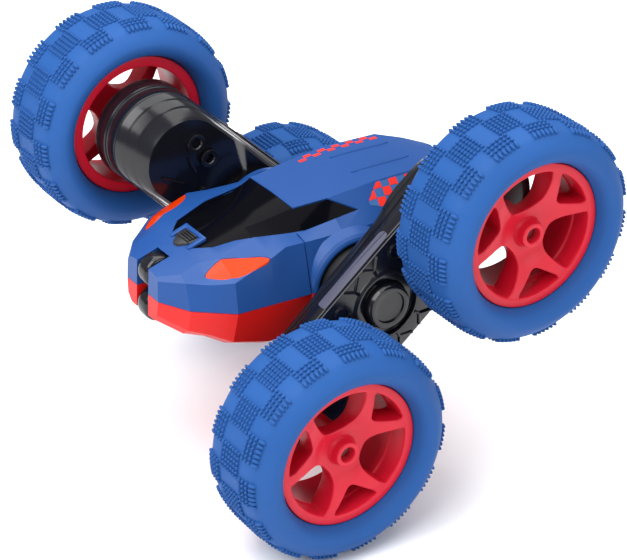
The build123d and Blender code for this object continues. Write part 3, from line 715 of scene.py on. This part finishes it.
LOWER = [
    (-63.8, [(10.0, 0), (9.4, -5.2), (7.0, -7.6), (0, -7.8)]),
    (-57.8, [(20.6, 0), (19.4, -7.6), (16.0, -10.2), (0, -10.6)]),
    (-51.6, [(25.2, 0), (23.6, -9.0), (19.0, -11.4), (0, -12.4)]),
    (-45.4, [(29.7, 0), (27.2, -11.4), (22.0, -14.2), (0, -14.4)]),
    (-32.0, [(29.8, 0), (27.6, -14.6), (23.0, -17.4), (0, -17.6)]),
    (-22.0, [(29.8, 0), (27.6, -14.6), (22.0, BELLY_Z), (0, BELLY_Z)]),
    (38.0, [(23.8, 0), (21.4, -14.0), (16.0, BELLY_Z), (0, BELLY_Z)]),
    (44.5, [(18.4, 0), (16.0, -13.0), (12.0, -17.0), (0, -17.0)]),
    (50.3, [(9.0, 0), (8.0, -11.0), (6.0, -14.0), (0, -14.0)]),
]
# left halves of the outlines seen from above, as (x, y) corners
CANOPY_HALF = [(6.2, -49.4), (11.3, -44.2), (15.8, -29.4), (19.6, -14.1), (20.2, 6.9), (14.7, -2.3),
               (13.2, -14.9)]
LAMP_HALF = [(18.6, -52.8), (24.6, -47.4), (27.2, -40.6), (27.3, -31.0), (22.6, -34.6), (19.4, -40.6),
             (18.0, -47.0)]
CHECKER_HALF = [(20.0, 10.4), (15.9, 16.2), (15.4, 37.0), (21.2, 37.0), (22.4, 17.6)]
WALL = 1.7
NOSE_SOLID_Y = -49.0
ROLLER_Y, ROLLER_Z, ROLLER_CLEAR_R = -58.6, 6.0, 6.5
SLOT_HALF = 3.7
ARCH_CUT_X = 24.8
BATTERY_OPENING = (-13, 13, 9, 37, -24, -16)
SWITCH_OPENING = (-2.2, 2.2, -20, -12, -24, -16)
# cutters reach this far up and out, clear of the body
CLEAR = 40
# the easing of body edges: least angle, segments, and the angle up to which faces shade smooth
SHELL_EASE = 0.45
EDGE_ANGLE, SHELL_SEGMENTS, PANEL_SEGMENTS, SMOOTH_ANGLE = 14.0, 3, 2, 16.0
PANEL_Y = -17.5
PANEL_WIDTH = 0.45
# the bottom of the panel line, as (x, z) corners down the left side
PANEL_LINE = [(29.4, -1.0), (24.0, 16.4), (19.0, 17.5)]


def section_ring(row, lift):
    """One cross-section of the body as a closed ring, starting at the split."""
    y, half = row
    ring = [(half[0][0], lift), *half[1:]]
    return [(x, y, z) for x, z in ring + [(-x, z) for x, z in reversed(ring[:-1])]]


def hull_parts(rows, lift):
    """A closed solid through the body's cross-sections, from just off the split line."""
    return [skin([section_ring(row, lift) for row in rows], cap_first=True, cap_last=True)]


def drawn_in(rows, side, depth):
    """The same body rows with narrower sides and a lower roof (or a higher belly)."""
    result = []
    for y, half in rows:
        down = math.copysign(depth, half[-1][1])
        result.append((y, [(max(x - side, 0), z - down if z else 0) for x, z in half]))
    return result


def prism(outline, z0, z1):
    """An (x, y) outline raised from z0 to z1."""
    rings = [[(x, y, z) for x, y in outline] for z in (z0, z1)]
    return [skin(rings, cap_first=True, cap_last=True)]


def bar(x0, x1, y0, y1, z0, z1):
    """A square block for cutting."""
    return prism([(x0, y0), (x1, y0), (x1, y1), (x0, y1)], z0, z1)


def disc(x0, x1, radius, y=0.0, z=0.0, segments=72):
    """A round block for cutting, along X."""
    verts, faces = lathe([(x0, radius), (x1, radius)], segments, close=False)
    return [([(px, py + y, pz + z) for px, py, pz in verts], faces)]


def area(outline):
    """Area of an outline, positive when it runs anticlockwise."""
    return sum(x0 * y1 - x1 * y0 for (x0, y0), (x1, y1) in zip(outline, outline[1:] + outline[:1])) / 2


def grown(outline, grow):
    """An outline moved outwards by a distance, corner by corner."""
    points = [Vector(point) for point in outline]
    sign = math.copysign(1, area(outline))
    result = []
    for index, point in enumerate(points):
        d0 = (point - points[index - 1]).normalized()
        d1 = (points[(index + 1) % len(points)] - point).normalized()
        n0, n1 = Vector((d0.y, -d0.x)) * sign, Vector((d1.y, -d1.x)) * sign
        push = (n0 + n1) / max(1 + n0.dot(n1), 0.35)
        result.append(tuple(point + push * grow))
    return result


def canopy_outline(grow=0.0):
    """The whole canopy from above."""
    outline = CANOPY_HALF + [(-x, y) for x, y in reversed(CANOPY_HALF)]
    return grown(outline, grow)


def lamp_outline(side, grow=0.0):
    """One headlight from above, with rounded corners."""
    return rounded(grown([(side * x, y) for x, y in LAMP_HALF], grow), 2.4, 4)


def temporary(parts):
    """A cutter, which cut() removes again."""
    return make("temporary", parts, bpy.data.materials[0])


def shell_piece(name, rows, lift, material):
    """A body half, solid at the nose and hollow behind it."""
    piece = make(name, hull_parts(rows, lift), material)
    inner = [row for row in drawn_in(rows, WALL, WALL) if row[0] > NOSE_SOLID_Y]
    inner[-1] = (inner[-1][0] - WALL, inner[-1][1])
    cut(piece, temporary(hull_parts(inner, lift - math.copysign(2.0, lift))))
    return piece


# the flared lip round the pivot opening: (x, radius) corners
ARCH_PROFILE = [(25.0, 18.4), (26.6, 17.9), (28.6, 17.2), (29.6, 16.4), (30.1, 15.6), (30.1, 14.9),
                (29.6, 14.4), (28.6, 14.1), (25.0, 14.0)]
ARCH_HOLE_R = 14.0


def arch_ring(side, up):
    """Half of the flared lip round an arm's pivot."""
    start = 0.0 if up else math.pi
    rings = []
    for step in range(49):
        angle = start + math.pi * step / 48
        low = 0.1 if up else -0.1
        ring = []
        for x, r in ARCH_PROFILE:
            z = r * math.sin(angle)
            ring.append((side * x, r * math.cos(angle), max(z, low) if up else min(z, low)))
        rings.append(ring)
    return skin(rings, cap_first=True, cap_last=True)


def cut_arches(piece, up):
    """The pivot openings in both sides, each with its flared lip."""
    for side in (-1, 1):
        x0, x1 = sorted((side * ARCH_CUT_X, side * CLEAR))
        cut(piece, temporary(disc(x0, x1, ARCH_HOLE_R + 1.0, segments=96)))
        cut(piece, temporary([arch_ring(side, up)]), "UNION")


def cut_slot(piece):
    """The upright slot in the nose that the two rollers turn in."""
    cut(piece, temporary(bar(-SLOT_HALF, SLOT_HALF, -70, ROLLER_Y, -20, 30)))
    for z in (ROLLER_Z, -ROLLER_Z):
        cut(piece, temporary(disc(-SLOT_HALF, SLOT_HALF, ROLLER_CLEAR_R, ROLLER_Y, z, 64)))


def cut_panel_line(piece):
    """The fine joint line that runs down each side behind the headlights."""
    for side in (-1, 1):
        inner = [(side * x, z) for x, z in PANEL_LINE]
        outer = [(side * (x + 6.0), z + 2.0) for x, z in PANEL_LINE]
        outline = inner + outer[::-1]
        rings = [[(x, y, z) for x, z in outline] for y in (PANEL_Y, PANEL_Y + PANEL_WIDTH)]
        cut(piece, temporary([skin(rings, cap_first=True, cap_last=True)]))


def upper_shell(paint):
    """The blue upper half, open for the canopy, the lamps, the arms and the rollers."""
    piece = shell_piece("upper_shell_looks", UPPER, 0.1, paint["blue"])
    cut_panel_line(piece)
    cut_arches(piece, True)
    for side in (-1, 1):
        cut(piece, temporary(prism(lamp_outline(side), 5, CLEAR)))
    cut(piece, temporary(prism(canopy_outline(), 8, CLEAR)))
    cut_slot(piece)
    ease(piece, SHELL_EASE, EDGE_ANGLE, SHELL_SEGMENTS, SMOOTH_ANGLE)
    return piece


def lower_shell(paint):
    """The red lower half, open for the arms, the rollers, the battery door and the switch."""
    piece = shell_piece("lower_shell_looks", LOWER, -0.1, paint["red"])
    cut_arches(piece, False)
    cut_slot(piece)
    cut(piece, temporary(bar(*BATTERY_OPENING)))
    cut(piece, temporary(bar(*SWITCH_OPENING)))
    ease(piece, SHELL_EASE, EDGE_ANGLE, SHELL_SEGMENTS, SMOOTH_ANGLE)
    return piece


def panel_under_roof(name, outline, material, sink, thickness, edge):
    """A closed panel that follows the upper body's surface inside an (x, y) outline."""
    piece = make(name, hull_parts(drawn_in(UPPER, sink, sink), 0.0), material)
    floor = drawn_in(UPPER, sink + 0.4, sink + thickness)
    floor[0] = (floor[0][0] - 1, floor[0][1])
    floor[-1] = (floor[-1][0] + 1, floor[-1][1])
    cut(piece, temporary(hull_parts(floor, -2.0)))
    cut(piece, temporary(prism(outline, 4, CLEAR)), "INTERSECT")
    ease(piece, edge, EDGE_ANGLE, PANEL_SEGMENTS, SMOOTH_ANGLE)
    return piece


SCOOP_FRAME = [(-6.2, -50.4), (6.2, -50.4), (6.4, -43.6), (-6.4, -43.6)]
SCOOP_HOLE = [(-4.3, -51.4), (4.3, -51.4), (4.3, -45.0), (-4.3, -45.0)]
SCOOP_BLOCK = [(-4.1, -48.6), (-1.2, -51.8), (1.2, -51.8), (4.1, -48.6), (4.1, -45.2), (-4.1, -45.2)]
SCOOP_SLOPE = 0.36
SCOOP_BACK_Y = -43.6
BLOCK_SLOPE = 0.22
BLOCK_RIB_Y, BLOCK_RIB_PITCH = -49.0, 0.98


def leaning(parts, slope=SCOOP_SLOPE):
    """Parts whose height falls away forward of the scoop's back, as the hood does."""
    result = []
    for verts, faces in parts:
        lowered = [(x, y, z + min(0.0, y - SCOOP_BACK_Y) * slope) for x, y, z in verts]
        result.append((lowered, faces))
    return result


def scoop_frame(paint):
    """The raised blue surround of the scoop, open at the front."""
    frame_piece = make("scoop_frame", leaning(prism(SCOOP_FRAME, 12.6, 16.9)), paint["blue"])
    cut(frame_piece, temporary(prism(SCOOP_HOLE, 8.0, 30.0)))
    ease(frame_piece, 0.35)
    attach(frame_piece, "chassis")


def scoop_parts():
    """The ribbed black block on the hood."""
    parts = prism(rounded(SCOOP_BLOCK, 0.6), 11.4, 16.2)
    for row in range(4):
        y = BLOCK_RIB_Y + row * BLOCK_RIB_PITCH
        outline = rounded([(-3.4, y), (3.4, y), (3.4, y + 0.5), (-3.4, y + 0.5)], 0.2, 2)
        parts += prism(outline, 16.0, 17.0)
    return leaning(parts, BLOCK_SLOPE)


def inlay(name, outlines, material, lift):
    """Thin inlays in the roof: upright columns cut to a skin that follows the upper body's surface."""
    columns = [part for outline in outlines for part in prism(outline, 8.0, 34.0)]
    piece = make(name, columns, material, "chassis", BODY, 25)
    cut(piece, temporary(hull_parts(raised(UPPER, lift), 0.0)), "INTERSECT")
    cut(piece, temporary(hull_parts(raised(UPPER, -0.3), -2.0)))
    soften(piece.data, 8.0)
    return piece


def raised(rows, height):
    """The body rows moved up and outwards by a small height."""
    return [(y, [(x + (height if x else 0.0), z + height) for x, z in half]) for y, half in rows]


def draped(name, outlines, material, surface, lift, shrink=0.0):
    """Thin raised lines laid on another piece's top: each (x, y) outline is dropped onto it."""
    parts = []
    for outline in outlines:
        top_outline = grown(outline, -shrink) if shrink else outline
        rings = []
        for ring, height in ((outline, -0.3), (outline, 0.0), (top_outline, lift)):
            heights = [surface_height(surface, x, y) for x, y in outline]
            rings.append([(x, y, z + height) for (x, y), z in zip(ring, heights)])
        parts.append(skin(rings, cap_first=True, cap_last=True))
    return make(name, parts, material, "chassis", BODY, 25)


def surface_height(surface, x, y):
    """The height of a piece's top above a point of the body's plan."""
    hit, point, _, _ = surface.ray_cast(BODY @ Vector((x, y, 60.0)), Vector((0, 0, -1)))
    return (BODY.inverted() @ point).z if hit else 0.0


def clipped(polygon, window):
    """The part of one convex polygon that lies inside another."""
    result = [Vector(point) for point in polygon]
    ring = [Vector(point) for point in window]
    if area(window) < 0:
        ring.reverse()
    for a, b in zip(ring, ring[1:] + ring[:1]):
        kept = []
        edge = b - a
        for p, q in zip(result, result[1:] + result[:1]):
            side_p = edge.x * (p.y - a.y) - edge.y * (p.x - a.x)
            side_q = edge.x * (q.y - a.y) - edge.y * (q.x - a.x)
            if side_p >= 0:
                kept.append(p)
            if side_p * side_q < 0:
                kept.append(p + (q - p) * (side_p / (side_p - side_q)))
        result = kept
        if len(result) < 3:
            return []
    return [tuple(point) for point in result]


CHECKER_X, CHECKER_Y = 15.3, 8.0
SQUARE_X, SQUARE_Y = 2.05, 3.3
SQUARE_GAP = 0.06
SMALLEST_SQUARE = 0.6
# the right-hand rows: first corner, pitch, size of a square, and how far each step leans outwards
EDGE_X, EDGE_Y = -10.7, 3.6
EDGE_PITCH_X, EDGE_PITCH_Y = 1.7, 2.9
EDGE_WIDE, EDGE_LONG = 1.65, 2.8
EDGE_LEAN = 0.02


def checker_outlines(side, odd):
    """The red or the pale squares of one roof-edge panel, within its slanted outline."""
    squares = []
    for row in range(4):
        for column in range(10):
            if (row + column) % 2 != odd:
                continue
            x0, y0 = CHECKER_X + row * SQUARE_X, CHECKER_Y + column * SQUARE_Y
            x1, y1 = x0 + SQUARE_X - SQUARE_GAP, y0 + SQUARE_Y - SQUARE_GAP
            piece = clipped([(x0, y0), (x1, y0), (x1, y1), (x0, y1)], CHECKER_HALF)
            if len(piece) > 2 and area(piece) > SMALLEST_SQUARE:
                squares.append([(side * x, y) for x, y in piece])
    return squares


def edge_squares():
    """Two staggered rows of small red squares along the roof's right-hand edge."""
    squares = []
    for column in range(11):
        for row in range(2):
            if (row + column) % 2:
                continue
            x0, y0 = EDGE_X - row * EDGE_PITCH_X - EDGE_LEAN * column, EDGE_Y + column * EDGE_PITCH_Y
            x1, y1 = x0 - EDGE_WIDE, y0 + EDGE_LONG
            squares.append([(x0, y0), (x1, y0), (x1, y1), (x0, y1)])
    return squares


# a roof ridge: y and half width, where it lies, and how far it leans inwards to the rear
RIDGE = [(12.5, 0.3), (14.0, 0.75), (24.0, 0.75), (34.0, 0.75), (36.5, 0.3)]
RIDGE_X, RIDGE_LEAN = 6.6, 0.012


def roof_ridge(side):
    """A thin raised line along the roof, tapered at both ends."""
    left = [(side * (RIDGE_X - RIDGE_LEAN * y) - width, y) for y, width in RIDGE]
    right = [(side * (RIDGE_X - RIDGE_LEAN * y) + width, y) for y, width in reversed(RIDGE)]
    return left + right


# half of a roller's section, as (x, radius) corners
ROLLER_HALF = [(1.2, 5.8), (2.3, 5.65), (2.9, 5.2), (3.1, 4.6), (3.1, 1.1)]


def roller_parts(z):
    """A small black wheel with rounded edges, on its pin in the nose slot."""
    profile = [(-x, radius) for x, radius in reversed(ROLLER_HALF)] + ROLLER_HALF
    verts, faces = lathe(profile, 64)
    return [([(px, py + ROLLER_Y, pz + z) for px, py, pz in verts], faces)]


def build_body(paint):
    """Everything that the chassis carries, and the two rollers."""
    upper = upper_shell(paint)
    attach(upper, "chassis")
    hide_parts("upper_shell")
    lower = lower_shell(paint)
    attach(lower, "chassis")
    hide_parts("lower_shell")
    canopy = panel_under_roof("canopy_looks", canopy_outline(-0.1), paint["glazing"], 0.2, 1.6, 0.2)
    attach(canopy, "chassis")
    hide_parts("canopy")
    for side, name in ((1, "left"), (-1, "right")):
        outline = lamp_outline(side, -0.1)
        lens = panel_under_roof(f"headlight_{name}_looks", outline, paint["lens"], -0.2, 2.0, 0.4)
        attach(lens, "chassis")
        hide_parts(f"headlight_{name}")
        inlay(f"checker_pale_{name}", checker_outlines(side, 1), paint["pale_blue"], 0.06)
        inlay(f"checker_red_{name}", checker_outlines(side, 0), paint["ink"], 0.09)
        draped(f"roof_ridge_{name}", [roof_ridge(side)], paint["blue"], upper, 0.4, 0.28)
    inlay("roof_edge_squares", edge_squares(), paint["ink"], 0.09)
    scoop = make("hood_scoop_looks", scoop_parts(), paint["satin"], "chassis", BODY)
    ease(scoop, 0.12)
    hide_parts("hood_scoop")
    scoop_frame(paint)
    for name, z in (("upper", ROLLER_Z), ("lower", -ROLLER_Z)):
        body = f"nose_roller_{name}"
        roller = make(f"{body}_looks", roller_parts(z), paint["black"], body, BODY, 40)
        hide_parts(body)


def build_wheels_and_arms(paint):
    """Four wheels and two arms, each from the same shapes."""
    tyre_shape, rim_shape = tyre_parts(), rim_parts()
    housing_shape, cover_shape, strip_shape = housing_parts(), cover_parts(), strip_parts()
    for side, place in ARMS.items():
        for end, u in (("a", REACH), ("b", -REACH)):
            spot = place @ Matrix.Translation((WHEEL_X, u, 0))
            body = f"{side}_wheel_{end}"
            tyre = make(f"{side}_tyre_{end}_looks", tyre_shape, paint["tyre"], body, spot, 50)
            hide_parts(f"{side}_tyre_{end}")
            rim = make(f"{side}_rim_{end}_looks", rim_shape, paint["rim"], body, spot, 40)
            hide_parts(f"{side}_rim_{end}")
        body = f"{side}_arm"
        housing = make(f"{side}_housing_looks", housing_shape, paint["black"], body, place, 32)
        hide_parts(f"{side}_arm_housing")
        cover = make(f"{side}_cover_looks", cover_shape, paint["black"], body, place, 32)
        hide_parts(f"{side}_arm_cover")
        strip = make(f"{side}_strip_looks", strip_shape, paint["strip"], body, place, 40)
        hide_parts(f"{side}_arm_strip")


SLOT_PAINT = {
    "blue_shell": "blue", "red_shell": "red", "glazing": "glazing", "black_trim": "satin", "lamp": "lens",
    "led": "lens", "board": "board", "cell": "cell", "screw": "steel", "shaft": "steel", "arm_black": "black",
    "arm_strip": "strip", "motor_can": "steel", "gear": "gear", "pinion": "steel", "tyre": "tyre",
    "rim": "rim",
}


def paint_cad_nodes(paint):
    """The CAD nodes that stay visible take the finish of their slot."""
    slots = {part["node"]: part["material_slot"] for part in frame["record"]["subparts"]}
    for node, piece in frame["nodes"].items():
        piece.data.materials.clear()
        piece.data.materials.append(paint[SLOT_PAINT[slots[node]]])


make_camera()
PAINT = make_materials()
make_stage()
paint_cad_nodes(PAINT)
build_wheels_and_arms(PAINT)
build_body(PAINT)
